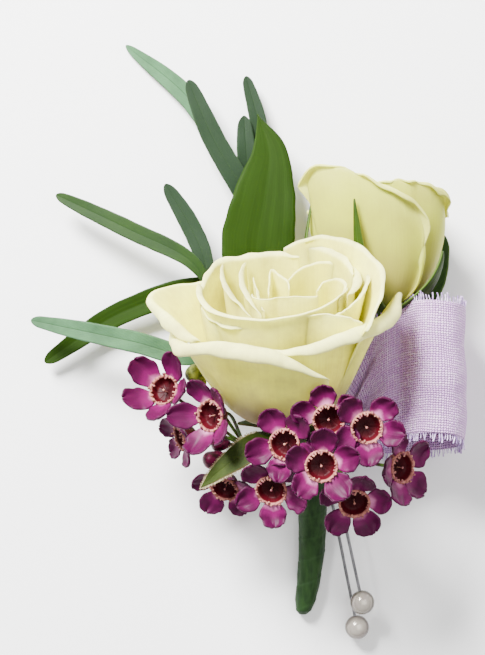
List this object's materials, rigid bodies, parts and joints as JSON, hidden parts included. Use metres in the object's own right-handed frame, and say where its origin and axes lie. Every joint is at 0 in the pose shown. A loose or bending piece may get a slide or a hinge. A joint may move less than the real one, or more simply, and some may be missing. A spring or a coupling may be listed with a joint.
{
  "type": "boutonniere",
  "caption": "Boutonniere of ivory roses, waxflowers and narrow leaves with a looped ribbon, its stems bound in floral tape, with pearl-headed pins to fix it to a lapel.",
  "frame": {"origin": "under the middle of the whole, on the surface it lies on", "axes": "+Y from the end of the taped stem towards the leaf tips, +Z away from the surface, +X to the right as the flowers are looked at"},
  "size_m": [0.0886, 0.124, 0.0456],
  "materials": {
    "rose_petal": "matte",
    "bud_petal": "matte",
    "calyx_green": "satin",
    "eucalyptus": "matte",
    "ruscus": "satin",
    "waxflower_stem": "satin",
    "waxflower_petal": "satin",
    "ribbon": "matte",
    "floral_tape": "matte",
    "pin_steel": "polished",
    "pearl": "gloss"
  },
  "bodies": {
    "root": {"rose_petals": "rose_petal", "rose_calyx_and_stem": "calyx_green", "bud_petals": "bud_petal", "bud_calyx_and_stem": "calyx_green", "eucalyptus_sprig_left": "eucalyptus", "eucalyptus_sprig_top": "eucalyptus", "ruscus_sprig": "ruscus", "waxflower_sprig_left": "waxflower_stem", "waxflower_sprig_front": "waxflower_stem", "waxflower_01_petals": "waxflower_petal", "waxflower_02_petals": "waxflower_petal", "waxflower_03_petals": "waxflower_petal", "waxflower_04_petals": "waxflower_petal", "waxflower_05_petals": "waxflower_petal", "waxflower_06_petals": "waxflower_petal", "waxflower_07_petals": "waxflower_petal", "waxflower_08_petals": "waxflower_petal", "waxflower_09_petals": "waxflower_petal", "waxflower_10_petals": "waxflower_petal", "waxflower_11_petals": "waxflower_petal", "ribbon_loop": "ribbon", "floral_tape_wrap": "floral_tape", "pin_1_shaft": "pin_steel", "pin_1_pearl": "pearl", "pin_2_shaft": "pin_steel", "pin_2_pearl": "pearl"}
  },
  "joints": []
}
